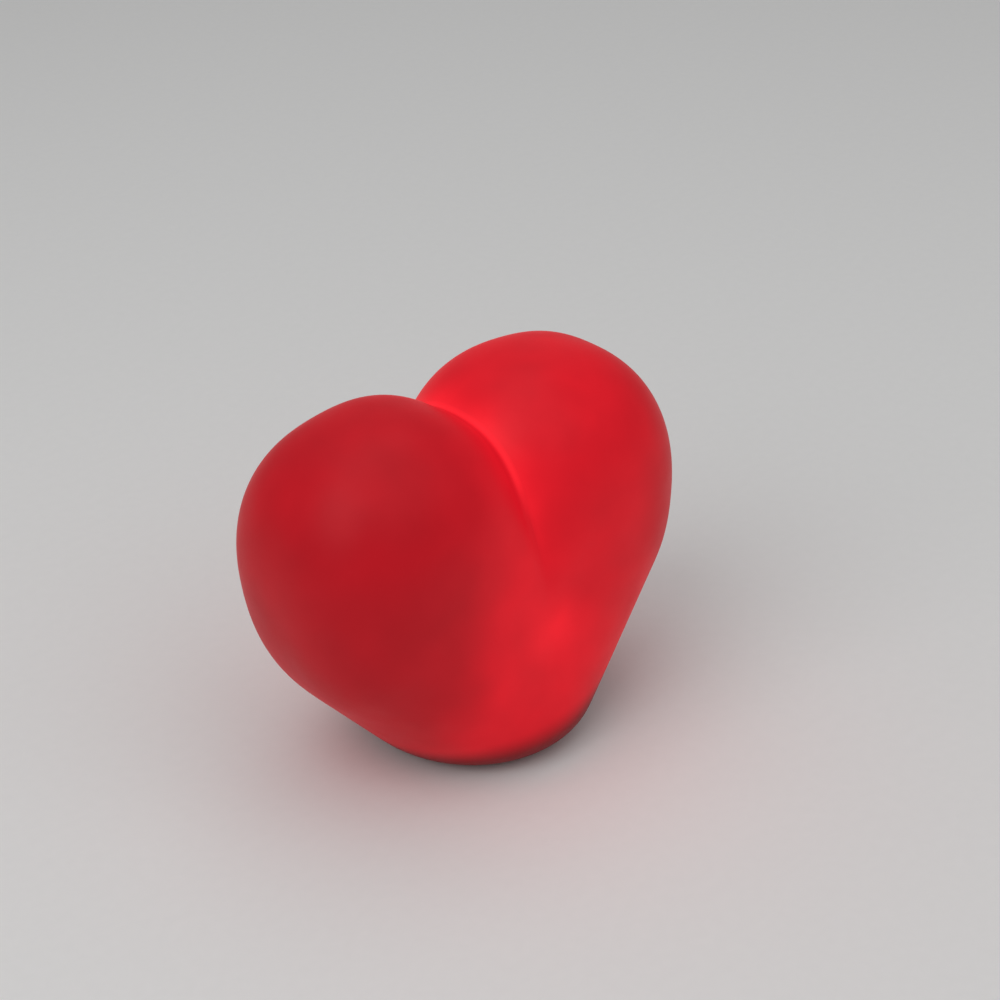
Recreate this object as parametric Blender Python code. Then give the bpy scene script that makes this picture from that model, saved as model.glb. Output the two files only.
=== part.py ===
"""Heart-shaped mood light: a soft vinyl heart over a round base unit with an LED, switch and button cells.

The frame is in metres, +Z up. X runs across the heart from lobe to lobe, Y through its thickness with
the front face at -Y, and the origin is the middle of the footprint on the surface that it stands on.
"""

import math

import bmesh
import bpy
from mathutils import Matrix, Vector
from mathutils.bvhtree import BVHTree

MM = 0.001
GAP = 0.3 * MM                      # clearance kept between pieces that touch
ROUND_STEPS = 96                    # facets round a large circle
SMALL_STEPS = 24                    # facets round a small circle

# Heart: each lobe is the convex hull of a tilted crown of its own, and of a belly and a rounded foot
# that both lobes share.
HEART_HEIGHT = 90.0 * MM
CROWN_CENTRE_X = 22.6 * MM
CROWN_RADII = (31.7 * MM, 29.6 * MM, 36.8 * MM)
CROWN_TILT = math.radians(6.7)      # the crowns lean outwards at the top
CROWN_POWER = 2.3                   # a little fuller than an ellipsoid, and more so seen from above
CROWN_PLAN_POWER = 2.5
BELLY_HEIGHT = 43.2 * MM
BELLY_RADII = (16.2 * MM, 29.7 * MM, 20.6 * MM)
FOOT_RADIUS_X = 29.8 * MM
FOOT_RADIUS_Y = 31.7 * MM
FOOT_ROUNDING = 11.2 * MM
FOOT_LIFT = 0.4 * MM                # the vinyl stays just clear of the surface; the rim carries it
CLEFT_FAN = math.radians(1.5)       # step of the fan of rays that softens the cleft
CLEFT_WEIGHTS = (1, 4, 6, 4, 1)
HEART_MIDDLE = 36.0 * MM            # height of the point from which the whole surface can be seen
HEART_GRID = 14                     # faces along each edge of the cube that is blown up to the heart
SHELL_WALL = 2.0 * MM

# Base plate and housing: the rigid unit that plugs the mouth of the heart.
RIM_RADIUS = 20.5 * MM
RIM_WIDTH = 2.5 * MM
PLATE_BOTTOM = 0.8 * MM             # the plate is recessed inside the rim it stands on
PLATE_TOP = 3.2 * MM
LIP_BOTTOM = PLATE_TOP + GAP
LIP_TOP = LIP_BOTTOM + SHELL_WALL
HOUSING_RADIUS = 18.0 * MM
HOUSING_WALL = 1.2 * MM
HOUSING_TOP = 22.0 * MM
BEAD_HEIGHT = 1.0 * MM
BEAD_DEPTH = 0.8 * MM
MOUTH_RADIUS = HOUSING_RADIUS + GAP

# Fasteners.
SCREW_CIRCLE = 15.0 * MM
SCREW_ANGLES = (55.0, 125.0, 270.0)
BOSS_RADIUS = 2.1 * MM
SCREW_SHANK = 0.8 * MM
SCREW_HEAD = 1.7 * MM
SCREW_LENGTH = 7.7 * MM
HEAD_HEIGHT = 0.7 * MM
COUNTERBORE = 0.8 * MM

# Button cells, in a row along X.
CELL_RADIUS = 5.8 * MM
CELL_LENGTH = 5.4 * MM
CELL_CAP_RADIUS = 4.7 * MM
CELL_CAP_HEIGHT = 0.5 * MM
CELL_COUNT = 3
CELL_HEIGHT = 8.5 * MM              # height of the cells' axis
CELL_PITCH = CELL_LENGTH + GAP

# Battery holder and its contacts.
HOLDER_LEFT = -12.2 * MM
HOLDER_RIGHT = 10.3 * MM
HOLDER_HALF_WIDTH = 7.3 * MM
HOLDER_SIDE_WALL = 1.2 * MM
HOLDER_END_WALL = 1.0 * MM
HOLDER_TOP = 15.7 * MM
END_WALL_BOTTOM = 5.0 * MM          # the end walls stop above the door's hooks
CONTACT_THICKNESS = 0.3 * MM
POSITIVE_HALF_WIDTH = 3.6 * MM
NEGATIVE_HALF_WIDTH = 4.2 * MM
CONTACT_SHOULDER = 4.0 * MM         # above the cells' axis, where a contact narrows to its tab
TAB_HALF_WIDTH = 1.2 * MM
SPRING_WIRE = 0.2 * MM
SPRING_TURNS = 2.25
SPRING_WIDE = 3.4 * MM
SPRING_NARROW = 2.0 * MM

# Battery door, which hooks under the plate at -X and is screwed down at +X.
HINGE_X = -12.3 * MM
DOOR_RIGHT = 12.0 * MM
DOOR_HALF_WIDTH = 6.9 * MM
DOOR_THICKNESS = 1.2 * MM
TONGUE_END = 16.2 * MM
TONGUE_HALF_WIDTH = 2.9 * MM
DOOR_SCREW_X = 13.4 * MM
DOOR_SCREW_LENGTH = 4.0 * MM
DOOR_SCREW_SEAT = 0.5 * MM          # depth of the door left under the screw's head
DOOR_BOSS_TOP = 5.4 * MM
DOOR_BORE_SLOT = 0.4 * MM           # length of the bore that lets the screw swing out with the door
LEDGE_LEFT = 11.0 * MM              # the plate's ledge under the door's free end starts here
HOOK_CENTRE_Y = 4.0 * MM
HOOK_HALF_WIDTH = 1.5 * MM
HOOK_RISER = 1.0 * MM
HOOK_REACH = 1.7 * MM               # past the hinge line, over the plate
HOOK_THICKNESS = 0.8 * MM

# Slide switch.
SWITCH_Y = 12.6 * MM
SWITCH_HALF_LENGTH = 4.2 * MM
SWITCH_HALF_WIDTH = 1.8 * MM
SWITCH_HEIGHT = 3.5 * MM
KNOB_REST_X = 1.0 * MM
KNOB_TRAVEL = 2.0 * MM
KNOB_HALF_LENGTH = 1.0 * MM
KNOB_HALF_WIDTH = 0.8 * MM
KNOB_BOTTOM = 0.3 * MM
KNOB_TOP = 4.3 * MM

# Circuit board and what it carries.
BOARD_RADIUS = 12.4 * MM
BOARD_BOTTOM = 16.3 * MM
BOARD_THICKNESS = 1.2 * MM
BOARD_TOP = BOARD_BOTTOM + BOARD_THICKNESS
BOARD_SCREWS = ((-4.4 * MM, 9.1 * MM), (4.4 * MM, -9.1 * MM))
BOARD_SCREW_HEAD = 1.4 * MM
BOARD_SCREW_SHANK = 0.7 * MM
BOARD_SCREW_LENGTH = 3.5 * MM
LED_RADIUS = 2.5 * MM
LED_FLANGE_RADIUS = 2.8 * MM
LED_BOTTOM = 19.0 * MM
LED_TOP = 27.0 * MM
LEAD_SPACING = 2.54 * MM
LEAD_RADIUS = 0.25 * MM
CHIP_X = -6.6 * MM
CHIP_RADIUS = 2.6 * MM
CHIP_HEIGHT = 1.2 * MM
RESISTOR_LOW = (5.0 * MM, 1.6 * MM)
RESISTOR_HIGH = (8.2 * MM, 3.2 * MM)
RESISTOR_HEIGHT = 0.6 * MM
WIRE_RADIUS = 0.5 * MM
WIRE_HALF_SPACING = 2.2 * MM


# ---------------------------------------------------------------- shared helpers

def clear_scene():
    for old in list(bpy.data.objects):
        bpy.data.objects.remove(old, do_unlink=True)


def material(name, colour, roughness, metallic=0.0, glow=0.0):
    mat = bpy.data.materials.new(name)
    mat.use_nodes = True
    shader = mat.node_tree.nodes["Principled BSDF"]
    shader.inputs["Base Color"].default_value = (*colour, 1.0)
    shader.inputs["Roughness"].default_value = roughness
    shader.inputs["Metallic"].default_value = metallic
    shader.inputs["Emission Color"].default_value = (*colour, 1.0)
    shader.inputs["Emission Strength"].default_value = glow
    mat.diffuse_color = (*colour, 1.0)
    return mat


def link(name, data, mat, origin=(0.0, 0.0, 0.0)):
    obj = bpy.data.objects.new(name, data)
    obj.location = origin
    if mat:
        data.materials.append(mat)
    bpy.context.scene.collection.objects.link(obj)
    return obj


def solid(name, bm, mat=None, origin=(0.0, 0.0, 0.0)):
    """An object from a bmesh drawn in world coordinates, with its own origin moved to the given point."""
    bmesh.ops.recalc_face_normals(bm, faces=bm.faces)
    bmesh.ops.translate(bm, verts=bm.verts, vec=-Vector(origin))
    mesh = bpy.data.meshes.new(name)
    bm.to_mesh(mesh)
    bm.free()
    mesh.shade_smooth()
    mesh.set_sharp_from_angle(angle=math.radians(35))
    return link(name, mesh, mat, origin)


def guide(name, bm):
    """A closed shape that only serves a Boolean."""
    obj = solid(name, bm)
    obj.hide_render = True
    obj.display_type = 'WIRE'
    return obj


def boolean(obj, operation, other):
    modifier = obj.modifiers.new(operation.title(), 'BOOLEAN')
    modifier.operation = operation
    modifier.solver = 'EXACT'
    modifier.object = other


def add_box(bm, low, high):
    size = [b - a for a, b in zip(low, high)]
    middle = [(a + b) / 2 for a, b in zip(low, high)]
    placing = Matrix.Translation(middle) @ Matrix.Diagonal((*size, 1.0))
    bmesh.ops.create_cube(bm, size=1.0, matrix=placing)


def add_cylinder(bm, x, y, radius, bottom, top, steps=SMALL_STEPS):
    placing = Matrix.Translation((x, y, (bottom + top) / 2))
    bmesh.ops.create_cone(bm, cap_ends=True, segments=steps, radius1=radius, radius2=radius,
                          depth=top - bottom, matrix=placing)


def add_prism(bm, outline, direction):
    """A closed prism from a flat outline, a list of points, pushed along the direction."""
    face = bm.faces.new([bm.verts.new(point) for point in outline])
    moved = bmesh.ops.extrude_face_region(bm, geom=[face])["geom"]
    bmesh.ops.translate(bm, verts=[v for v in moved if isinstance(v, bmesh.types.BMVert)],
                        vec=direction)


def add_turned(bm, profile, x=0.0, y=0.0, steps=ROUND_STEPS):
    """A turned solid about a vertical line. The profile lists (radius, height) points; both of its
    ends lie on the axis, or it is a closed loop clear of the axis."""
    closed = min(radius for radius, _ in profile) > 0.0
    rings = []
    for radius, height in profile:
        if radius == 0.0:
            rings.append([bm.verts.new((x, y, height))])
            continue
        angles = [2 * math.pi * i / steps for i in range(steps)]
        rings.append([bm.verts.new((x + radius * math.cos(a), y + radius * math.sin(a), height))
                      for a in angles])
    pairs = list(zip(rings, rings[1:])) + ([(rings[-1], rings[0])] if closed else [])
    for first, second in pairs:
        for i in range(steps):
            j = (i + 1) % steps
            corners = [first[i % len(first)], first[j % len(first)],
                       second[j % len(second)], second[i % len(second)]]
            bm.faces.new(list(dict.fromkeys(corners)))


def slot_outline(x0, x1, half_width, z, steps=16):
    """A flat outline with a square left end and a half-round right end."""
    middle = x1 - half_width
    arc = [(middle + half_width * math.sin(math.pi * i / steps),
            -half_width * math.cos(math.pi * i / steps), z) for i in range(steps + 1)]
    return [(x0, -half_width, z), *arc, (x0, half_width, z)]


def screw_places():
    return [(SCREW_CIRCLE * math.cos(math.radians(a)), SCREW_CIRCLE * math.sin(math.radians(a)))
            for a in SCREW_ANGLES]


# ---------------------------------------------------------------- heart

def sphere_ways(rows, columns):
    for row in range(rows + 1):
        latitude = math.pi * row / rows - math.pi / 2
        for column in range(columns):
            longitude = 2 * math.pi * column / columns
            yield Vector((math.cos(latitude) * math.cos(longitude),
                          math.cos(latitude) * math.sin(longitude), math.sin(latitude)))


def crown_points(rows, columns):
    """Points on one tilted, slightly squared ellipsoid, with its top at the heart's full height."""
    tilt = Matrix.Rotation(CROWN_TILT, 3, 'Y')
    points = []
    for way in sphere_ways(rows, columns):
        plan = abs(way.x) ** CROWN_PLAN_POWER + abs(way.y) ** CROWN_PLAN_POWER
        length = plan ** (CROWN_POWER / CROWN_PLAN_POWER) + abs(way.z) ** CROWN_POWER
        points.append(tilt @ (way * length ** (-1 / CROWN_POWER) * Vector(CROWN_RADII)))
    lift = HEART_HEIGHT - max(point.z for point in points)
    return [point + Vector((CROWN_CENTRE_X, 0.0, lift)) for point in points]


def belly_points(rows, columns):
    """Points on the ellipsoid that fills the heart's faces out below the cleft."""
    middle = Vector((0.0, 0.0, BELLY_HEIGHT))
    return [middle + way * Vector(BELLY_RADII) for way in sphere_ways(rows, columns)]


def foot_points(rows, columns):
    """Points on the round-edged disc that both lobes run down into."""
    points = []
    for row in range(rows + 1):
        latitude = math.pi * row / rows - math.pi / 2
        reach = FOOT_ROUNDING * (math.cos(latitude) - 1.0)
        for column in range(columns):
            longitude = 2 * math.pi * column / columns
            points.append(Vector(((FOOT_RADIUS_X + reach) * math.cos(longitude),
                                  (FOOT_RADIUS_Y + reach) * math.sin(longitude),
                                  FOOT_LIFT + FOOT_ROUNDING * (1.0 + math.sin(latitude)))))
    return points


def lobe_tree():
    """A ray-casting tree of the right lobe: the convex hull of its crown, the belly and the foot."""
    bm = bmesh.new()
    for point in crown_points(40, 80) + belly_points(20, 40) + foot_points(14, 80):
        bm.verts.new(point)
    bmesh.ops.convex_hull(bm, input=bm.verts)
    tree = BVHTree.FromBMesh(bm)
    bm.free()
    return tree


def lobe_reach(tree, way, side):
    """Distance from the heart's middle to one lobe's surface, found by a ray from outside."""
    start = Vector((0.0, 0.0, HEART_MIDDLE))
    way = Vector((side * way.x, way.y, way.z))
    far = 2 * HEART_HEIGHT
    return (tree.ray_cast(start + way * far, -way)[0] - start).length


def heart_reach(tree, way):
    """Distance to the heart's surface: the longer of the two lobes' reaches, averaged over a
    narrow fan of rays across the cleft so that it has a rounded bottom."""
    total = 0.0
    for step, weight in enumerate(CLEFT_WEIGHTS):
        turn = (step - len(CLEFT_WEIGHTS) // 2) * CLEFT_FAN
        fanned = Vector((way.x + turn, way.y, way.z)).normalized()
        total += weight * max(lobe_reach(tree, fanned, 1), lobe_reach(tree, fanned, -1))
    return total / sum(CLEFT_WEIGHTS)


def heart_bmesh(tree, grid, inset=0.0):
    """A cube blown up to the heart's surface, then moved inwards by the inset."""
    bm = bmesh.new()
    bmesh.ops.create_cube(bm, size=2.0)
    bmesh.ops.subdivide_edges(bm, edges=bm.edges, cuts=grid - 1, use_grid_fill=True)
    for vert in bm.verts:
        cube = Vector(math.tan(part * math.pi / 4) for part in vert.co)
        way = cube.normalized()
        vert.co = Vector((0.0, 0.0, HEART_MIDDLE)) + way * heart_reach(tree, way)
    bm.normal_update()
    if inset:
        normals = [vert.normal.copy() for vert in bm.verts]
        for vert, normal in zip(bm.verts, normals):
            vert.co -= normal * inset
    return bm


def make_heart_shell(mat):
    tree = lobe_tree()
    shell = solid("heart_shell", heart_bmesh(tree, HEART_GRID), mat)
    hollow = guide("guide_heart_hollow", heart_bmesh(tree, HEART_GRID, SHELL_WALL))
    above_lip = bmesh.new()
    add_box(above_lip, (-HEART_HEIGHT, -HEART_HEIGHT, LIP_TOP), (HEART_HEIGHT, HEART_HEIGHT, HEART_HEIGHT))
    boolean(hollow, 'INTERSECT', guide("guide_above_lip", above_lip))
    boolean(shell, 'DIFFERENCE', hollow)
    mouth = bmesh.new()
    inner, outer, below = MOUTH_RADIUS, RIM_RADIUS + GAP, -HEART_HEIGHT / 10
    add_turned(mouth, [(0.0, below), (outer, below), (outer, LIP_BOTTOM), (inner, LIP_BOTTOM),
                       (inner, 2 * LIP_TOP), (0.0, 2 * LIP_TOP)])
    boolean(shell, 'DIFFERENCE', guide("guide_mouth", mouth))


# ---------------------------------------------------------------- base unit

def make_base_plate(mat):
    inner = RIM_RADIUS - RIM_WIDTH
    bm = bmesh.new()
    chamfer = GAP
    add_turned(bm, [(0.0, PLATE_BOTTOM), (inner, PLATE_BOTTOM), (inner, 0.0), (RIM_RADIUS - chamfer, 0.0),
                    (RIM_RADIUS, chamfer), (RIM_RADIUS, PLATE_TOP), (0.0, PLATE_TOP)])
    plate = solid("base_plate", bm, mat)

    boss = bmesh.new()
    add_cylinder(boss, DOOR_SCREW_X + GAP, 0.0, BOSS_RADIUS, PLATE_TOP - 0.5 * MM, DOOR_BOSS_TOP)
    boolean(plate, 'UNION', guide("guide_door_boss", boss))

    cutter = bmesh.new()
    below, above = PLATE_BOTTOM - MM, 6.0 * MM
    half = DOOR_HALF_WIDTH + GAP
    ledge_top = PLATE_BOTTOM + DOOR_THICKNESS + GAP
    add_box(cutter, (HINGE_X, -half, below), (LEDGE_LEFT, half, above))
    for x, y in screw_places():
        add_turned(cutter, [(0.0, below), (SCREW_HEAD + GAP, below),
                            (SCREW_HEAD + GAP, PLATE_BOTTOM + COUNTERBORE),
                            (SCREW_SHANK + GAP, PLATE_BOTTOM + COUNTERBORE),
                            (SCREW_SHANK + GAP, above), (0.0, above)], x, y, SMALL_STEPS)
    reach = KNOB_HALF_LENGTH + KNOB_TRAVEL / 2 + GAP
    side = KNOB_HALF_WIDTH + GAP
    add_box(cutter, (-reach, SWITCH_Y - side, below), (reach, SWITCH_Y + side, above))
    boolean(plate, 'DIFFERENCE', guide("guide_plate_openings", cutter))

    seat = bmesh.new()
    add_box(seat, (LEDGE_LEFT - MM, -half, below), (DOOR_RIGHT + GAP, half, ledge_top))
    boolean(plate, 'DIFFERENCE', guide("guide_door_seat", seat))
    tongue = bmesh.new()
    add_prism(tongue, slot_outline(DOOR_RIGHT - MM, TONGUE_END + GAP, TONGUE_HALF_WIDTH + GAP, below),
              (0.0, 0.0, ledge_top - below))
    boolean(plate, 'DIFFERENCE', guide("guide_tongue_seat", tongue))
    for x in (DOOR_SCREW_X, DOOR_SCREW_X + DOOR_BORE_SLOT):
        bore = bmesh.new()
        add_cylinder(bore, x, 0.0, SCREW_SHANK + GAP, below, above, 16)
        boolean(plate, 'DIFFERENCE', guide("guide_door_bore", bore))


def make_puck_housing(mat):
    inner = HOUSING_RADIUS - HOUSING_WALL
    ceiling = HOUSING_TOP - HOUSING_WALL
    bead = LIP_TOP + GAP
    hole = LED_RADIUS + GAP + 0.1 * MM
    bm = bmesh.new()
    add_turned(bm, [(inner, LIP_BOTTOM), (HOUSING_RADIUS, LIP_BOTTOM), (HOUSING_RADIUS, bead),
                    (HOUSING_RADIUS + BEAD_DEPTH, bead),
                    (HOUSING_RADIUS, bead + BEAD_HEIGHT), (HOUSING_RADIUS, HOUSING_TOP - MM),
                    (HOUSING_RADIUS - MM, HOUSING_TOP), (hole, HOUSING_TOP), (hole, ceiling),
                    (inner, ceiling)])
    housing = solid("puck_housing", bm, mat)
    bosses, bores = bmesh.new(), bmesh.new()
    for x, y in screw_places():
        add_cylinder(bosses, x, y, BOSS_RADIUS, LIP_BOTTOM, ceiling + 0.5 * MM)
        add_cylinder(bores, x, y, SCREW_SHANK + GAP, 0.0, 10.0 * MM, 16)
    for x, y in BOARD_SCREWS:
        add_cylinder(bosses, x, y, BOSS_RADIUS - GAP, BOARD_TOP + GAP, ceiling + 0.5 * MM)
        add_cylinder(bores, x, y, BOARD_SCREW_SHANK + GAP, BOARD_TOP - MM, ceiling - 0.5 * MM, 16)
    boolean(housing, 'UNION', guide("guide_housing_bosses", bosses))
    boolean(housing, 'DIFFERENCE', guide("guide_housing_bores", bores))


def screw_bmesh(x, y, head_radius, shank_radius, head_bottom, length):
    """A pan-head screw with its head down, a cross recess and a blunt tip."""
    top = head_bottom + HEAD_HEIGHT
    edge = 0.2 * MM
    bm = bmesh.new()
    add_turned(bm, [(0.0, head_bottom), (head_radius - edge, head_bottom), (head_radius, head_bottom + edge),
                    (head_radius, top), (shank_radius, top), (shank_radius, top + length - edge),
                    (shank_radius - edge, top + length), (0.0, top + length)], x, y, SMALL_STEPS)
    return bm


def cross_guide(name, x, y, bottom, reach=1.0 * MM, half=0.25 * MM, depth=0.4 * MM):
    """The cross recess in a screw's head."""
    corners = [(half, half), (half, reach), (-half, reach), (-half, half), (-reach, half), (-reach, -half),
               (-half, -half), (-half, -reach), (half, -reach), (half, -half), (reach, -half), (reach, half)]
    bm = bmesh.new()
    add_prism(bm, [(x + a, y + b, bottom - MM) for a, b in corners], (0.0, 0.0, MM + depth))
    return guide(name, bm)


def make_screw(name, x, y, head_radius, shank_radius, head_bottom, length, mat):
    bm = screw_bmesh(x, y, head_radius, shank_radius, head_bottom, length)
    screw = solid(name, bm, mat, (x, y, head_bottom))
    cross = cross_guide("guide_cross_" + name, x, y, head_bottom)
    boolean(screw, 'DIFFERENCE', cross)
    return screw, cross


def make_base_screws(mat):
    for number, (x, y) in enumerate(screw_places(), 1):
        head_bottom = PLATE_BOTTOM + COUNTERBORE - GAP - HEAD_HEIGHT
        make_screw(f"base_screw_{number}", x, y, SCREW_HEAD, SCREW_SHANK, head_bottom, SCREW_LENGTH, mat)


def make_board_screws(mat):
    for number, (x, y) in enumerate(BOARD_SCREWS, 1):
        head_bottom = BOARD_BOTTOM - GAP - HEAD_HEIGHT
        make_screw(f"board_screw_{number}", x, y, BOARD_SCREW_HEAD, BOARD_SCREW_SHANK, head_bottom,
                   BOARD_SCREW_LENGTH, mat)


# ---------------------------------------------------------------- power

def make_battery_holder(mat):
    floor = PLATE_TOP + GAP
    left, right = HOLDER_LEFT + HOLDER_END_WALL, HOLDER_RIGHT - HOLDER_END_WALL
    half = HOLDER_HALF_WIDTH - HOLDER_SIDE_WALL
    bm = bmesh.new()
    add_box(bm, (HOLDER_LEFT, -HOLDER_HALF_WIDTH, floor), (HOLDER_RIGHT, HOLDER_HALF_WIDTH, HOLDER_TOP))
    holder = solid("battery_holder", bm, mat)
    cutter = bmesh.new()
    add_box(cutter, (left, -half, floor - MM), (right, half, HOLDER_TOP - HOLDER_END_WALL))
    boolean(holder, 'DIFFERENCE', guide("guide_cell_bay", cutter))
    ends = bmesh.new()
    add_box(ends, (HOLDER_LEFT - MM, -half, floor - MM), (HOLDER_RIGHT + MM, half, END_WALL_BOTTOM))
    boolean(holder, 'DIFFERENCE', guide("guide_end_walls", ends))
    slots = bmesh.new()
    side = TAB_HALF_WIDTH + GAP
    depth = CONTACT_THICKNESS + 2 * GAP
    for x0, x1 in ((left, left + depth), (right - depth, right)):
        add_box(slots, (x0, -side, END_WALL_BOTTOM), (x1, side, HOLDER_TOP + MM))
    boolean(holder, 'DIFFERENCE', guide("guide_tab_slots", slots))


def make_button_cells(mat):
    """Three alkaline cells, each with its smaller negative cap towards the spring at -X."""
    for number in range(CELL_COUNT):
        centre = (number - (CELL_COUNT - 1) / 2) * CELL_PITCH
        edge = 0.25 * MM
        low, high = -CELL_LENGTH / 2, CELL_LENGTH / 2
        bm = bmesh.new()
        shoulder = low + CELL_CAP_HEIGHT
        add_turned(bm, [(0.0, low), (CELL_CAP_RADIUS - edge, low), (CELL_CAP_RADIUS, low + edge),
                        (CELL_CAP_RADIUS, shoulder), (CELL_RADIUS - edge, shoulder),
                        (CELL_RADIUS, shoulder + edge), (CELL_RADIUS, high - edge),
                        (CELL_RADIUS - edge, high), (0.0, high)], steps=32)
        bmesh.ops.rotate(bm, verts=bm.verts, matrix=Matrix.Rotation(math.pi / 2, 3, 'Y'))
        bmesh.ops.translate(bm, verts=bm.verts, vec=(centre, 0.0, CELL_HEIGHT))
        solid(f"button_cell_{number + 1}", bm, mat, (centre, 0.0, CELL_HEIGHT))


def contact_strip(name, x0, half_width, mat):
    """A flat spring-metal strip that stands on edge, with a narrow tab that rises to the board."""
    bottom, shoulder = END_WALL_BOTTOM + GAP, CELL_HEIGHT + CONTACT_SHOULDER
    top = BOARD_BOTTOM - GAP
    outline = [(-half_width, bottom), (half_width, bottom), (half_width, shoulder),
               (TAB_HALF_WIDTH, shoulder), (TAB_HALF_WIDTH, top), (-TAB_HALF_WIDTH, top),
               (-TAB_HALF_WIDTH, shoulder), (-half_width, shoulder)]
    bm = bmesh.new()
    add_prism(bm, [(x0, y, z) for y, z in outline], (CONTACT_THICKNESS, 0.0, 0.0))
    solid(name, bm, mat)


def make_contacts(mat):
    contact_strip("positive_contact", HOLDER_RIGHT - HOLDER_END_WALL - GAP - CONTACT_THICKNESS,
                  POSITIVE_HALF_WIDTH, mat)
    contact_strip("negative_contact", HOLDER_LEFT + HOLDER_END_WALL + GAP,
                  NEGATIVE_HALF_WIDTH, mat)


def make_negative_spring(mat):
    """A short conical coil between the negative contact and the first cell."""
    points_per_turn = 14
    start = HOLDER_LEFT + HOLDER_END_WALL + 2 * GAP + CONTACT_THICKNESS + SPRING_WIRE
    end = -(CELL_COUNT * CELL_LENGTH / 2 + GAP * (CELL_COUNT - 1) / 2) - GAP - SPRING_WIRE
    count = int(SPRING_TURNS * points_per_turn)
    points = []
    for i in range(count + 1):
        part = i / count
        angle = 2 * math.pi * SPRING_TURNS * part
        radius = SPRING_WIDE + (SPRING_NARROW - SPRING_WIDE) * part
        points.append((start + (end - start) * part, radius * math.cos(angle),
                       CELL_HEIGHT + radius * math.sin(angle)))
    tube("negative_spring", points, SPRING_WIRE, mat)


# ---------------------------------------------------------------- electronics

def tube(name, points, radius, mat):
    curve = bpy.data.curves.new(name, 'CURVE')
    curve.dimensions = '3D'
    spline = curve.splines.new('POLY')
    spline.points.add(len(points) - 1)
    for slot, point in zip(spline.points, points):
        slot.co = (*point, 1.0)
    curve.bevel_depth = radius
    curve.bevel_resolution = 2
    curve.use_fill_caps = True
    link(name, curve, mat)


def make_circuit_board(mat):
    bm = bmesh.new()
    add_cylinder(bm, 0.0, 0.0, BOARD_RADIUS, BOARD_BOTTOM, BOARD_TOP, ROUND_STEPS)
    board = solid("circuit_board", bm, mat)
    holes = bmesh.new()
    for x, y in BOARD_SCREWS:
        add_cylinder(holes, x, y, BOARD_SCREW_SHANK + GAP, BOARD_BOTTOM - MM, BOARD_TOP + MM, 16)
    for side in (-1, 1):
        add_cylinder(holes, side * LEAD_SPACING / 2, 0.0, LEAD_RADIUS + GAP, BOARD_BOTTOM - MM,
                     BOARD_TOP + MM, 12)
    boolean(board, 'DIFFERENCE', guide("guide_board_holes", holes))


def make_controller_chip(mat):
    """The blob of black resin over the bare chip."""
    rings = 5
    base = BOARD_TOP + GAP
    arc = [math.pi / 2 * i / rings for i in range(rings)]
    profile = [(0.0, base)]
    profile += [(CHIP_RADIUS * math.cos(a), base + CHIP_HEIGHT * math.sin(a)) for a in arc]
    bm = bmesh.new()
    add_turned(bm, profile + [(0.0, base + CHIP_HEIGHT)], CHIP_X, 0.0, SMALL_STEPS)
    solid("controller_chip", bm, mat)


def make_resistor(mat):
    bm = bmesh.new()
    base = BOARD_TOP + GAP
    add_box(bm, (*RESISTOR_LOW, base), (*RESISTOR_HIGH, base + RESISTOR_HEIGHT))
    bmesh.ops.bevel(bm, geom=bm.edges[:], offset=0.1 * MM, segments=1, affect='EDGES')
    solid("resistor", bm, mat)


def make_led(lens_mat, lead_mat):
    flange_top = LED_BOTTOM + MM
    dome = LED_TOP - LED_RADIUS
    rings = 6
    arc = [math.pi / 2 * i / rings for i in range(rings)]
    profile = [(0.0, LED_BOTTOM), (LED_FLANGE_RADIUS, LED_BOTTOM), (LED_FLANGE_RADIUS, flange_top),
               (LED_RADIUS, flange_top)]
    profile += [(LED_RADIUS * math.cos(a), dome + LED_RADIUS * math.sin(a)) for a in arc]
    bm = bmesh.new()
    add_turned(bm, profile + [(0.0, LED_TOP)], steps=24)
    solid("led_lens", bm, lens_mat)
    for number, side in enumerate((-1, 1), 1):
        bm = bmesh.new()
        add_cylinder(bm, side * LEAD_SPACING / 2, 0.0, LEAD_RADIUS, BOARD_BOTTOM - GAP,
                     LED_BOTTOM - GAP, 10)
        solid(f"led_lead_{number}", bm, lead_mat)


def wire_route(x):
    """From a switch terminal, up past the edge of the board and down onto its top face."""
    knots = [Vector((x, y * MM, z * MM)) for y, z in
             ((12.6, 7.3), (12.9, 9.0), (13.6, 12.0), (14.0, 15.0), (13.9, 17.2),
              (12.9, 19.0), (11.4, 19.3), (10.6, 18.1))]
    route = []
    for i in range(len(knots) - 1):
        before, start = knots[max(i - 1, 0)], knots[i]
        end, after = knots[i + 1], knots[min(i + 2, len(knots) - 1)]
        for part in (0.0, 0.5):
            route.append(0.5 * (2 * start + (end - before) * part
                                + (2 * before - 5 * start + 4 * end - after) * part ** 2
                                + (3 * start - before - 3 * end + after) * part ** 3))
    return route + [knots[-1]]


def make_switch_wires(red, black):
    tube("switch_wire_red", wire_route(WIRE_HALF_SPACING), WIRE_RADIUS, red)
    tube("switch_wire_black", wire_route(-WIRE_HALF_SPACING), WIRE_RADIUS, black)


def make_switch_body(mat):
    bottom = PLATE_TOP + GAP
    bm = bmesh.new()
    add_box(bm, (-SWITCH_HALF_LENGTH, SWITCH_Y - SWITCH_HALF_WIDTH, bottom),
            (SWITCH_HALF_LENGTH, SWITCH_Y + SWITCH_HALF_WIDTH, bottom + SWITCH_HEIGHT))
    body = solid("switch_body", bm, mat)
    slot = bmesh.new()
    reach = KNOB_HALF_LENGTH + KNOB_TRAVEL / 2 + GAP
    side = KNOB_HALF_WIDTH + GAP
    add_box(slot, (-reach, SWITCH_Y - side, bottom - MM), (reach, SWITCH_Y + side, KNOB_TOP + GAP))
    boolean(body, 'DIFFERENCE', guide("guide_switch_slot", slot))


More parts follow.
